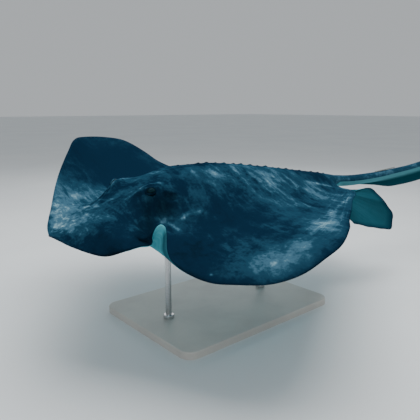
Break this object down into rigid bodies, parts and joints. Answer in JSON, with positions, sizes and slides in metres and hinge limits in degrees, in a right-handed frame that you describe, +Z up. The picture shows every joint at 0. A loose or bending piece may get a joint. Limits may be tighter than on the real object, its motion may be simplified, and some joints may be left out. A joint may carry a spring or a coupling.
{
  "type": "stingray model",
  "caption": "Life-size still model of a swimming southern stingray with one wing raised and a long whip tail, held by a plain display stand.",
  "frame": {"origin": "middle of the underside of the stand's base", "axes": "+Z up, -Y towards the snout, +Y along the tail, +X to the animal's left"},
  "size_m": [0.937, 2.2012, 0.4432],
  "materials": {
    "skin": "smooth wet skin, dark slate blue above with paler mottles, pale below",
    "sting": "satin bone",
    "eye": "glossy, dark",
    "base": "satin warm grey",
    "rod": "brushed"
  },
  "bodies": {
    "root": {"head": "skin", "trunk": "skin", "pectoral_fin_left": "skin", "pectoral_fin_right": "skin", "pelvic_fin_left": "skin", "pelvic_fin_right": "skin", "tail_base": "skin", "tail_middle": "skin", "tail_whip_front": "skin", "tail_whip_rear": "skin", "tail_fold": "skin", "sting": "sting", "eye_left": "eye", "eye_right": "eye", "stand_base": "base", "stand_rod_front": "rod", "stand_rod_rear": "rod"}
  },
  "joints": []
}
